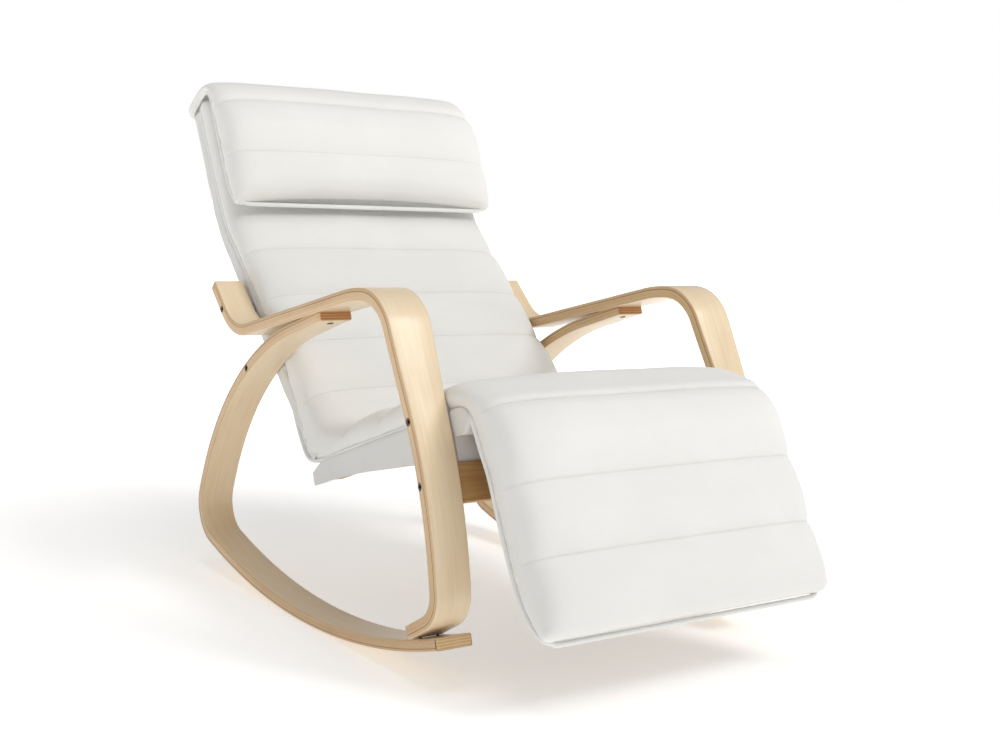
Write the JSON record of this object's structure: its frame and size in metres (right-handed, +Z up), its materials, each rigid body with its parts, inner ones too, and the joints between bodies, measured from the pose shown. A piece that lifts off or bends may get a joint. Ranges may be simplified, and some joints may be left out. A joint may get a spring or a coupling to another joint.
{
  "type": "rocking lounge chair",
  "caption": "Bentwood rocking lounge chair: laminated arm and rocker frames, quilted cushion with a folded headrest, and a ratchet footrest that lifts.",
  "frame": {"origin": "middle of the chair's length and width, at the floor, level with the rockers' lowest point", "axes": "+Z up, the sitter faces -Y, X across the chair; the chair is a mirror image about the plane X = 0"},
  "size_m": [0.67, 1.1646, 0.8639],
  "materials": {
    "bent_birch": "clear satin lacquer",
    "stretcher_birch": "clear satin lacquer",
    "frame_wood": "raw",
    "cushion_cloth": "woven cotton",
    "canvas": "plain canvas",
    "webbing": "elastic webbing",
    "fastener_steel": "blackened",
    "bracket_steel": "zinc plated"
  },
  "bodies": {
    "frame": {"arm_and_leg_left": "bent_birch", "arm_and_leg_right": "bent_birch", "arm_screws": "fastener_steel", "back_bottom_rail": "frame_wood", "back_canvas": "canvas", "back_middle_rail": "frame_wood", "back_pad": "cushion_cloth", "back_rail_left": "frame_wood", "back_rail_right": "frame_wood", "back_top_rail": "frame_wood", "back_webbing": "webbing", "barrel_nuts": "bracket_steel", "bolt_spacers": "bracket_steel", "corner_plate_left": "bracket_steel", "corner_plate_right": "bracket_steel", "foot_screws": "fastener_steel", "footrest_pivots": "bracket_steel", "frame_screws": "fastener_steel", "front_stretcher": "stretcher_birch", "headrest_flap": "cushion_cloth", "ratchet_plate_left": "bracket_steel", "ratchet_plate_right": "bracket_steel", "ratchet_plate_screws": "fastener_steel", "rocker_left": "bent_birch", "rocker_right": "bent_birch", "seat_canvas": "canvas", "seat_front_rail": "frame_wood", "seat_pad": "cushion_cloth", "seat_rail_left": "frame_wood", "seat_rail_right": "frame_wood", "seat_rear_rail": "frame_wood", "seat_webbing": "webbing", "side_bolts": "fastener_steel"},
    "footrest": {"footrest_canvas": "canvas", "footrest_end_rail": "frame_wood", "footrest_frame_screws": "fastener_steel", "footrest_pad": "cushion_cloth", "footrest_plate_left": "bracket_steel", "footrest_plate_right": "bracket_steel", "footrest_plate_screws": "fastener_steel", "footrest_rail_left": "frame_wood", "footrest_rail_right": "frame_wood", "footrest_top_rail": "frame_wood", "footrest_webbing": "webbing"}
  },
  "joints": [
    {"name": "footrest_hinge", "type": "hinge", "parent": "frame", "child": "footrest", "pos_m": [0, -0.3479, 0.3747], "axis": [-1, 0, 0], "range_deg": [0, 60]}
  ]
}
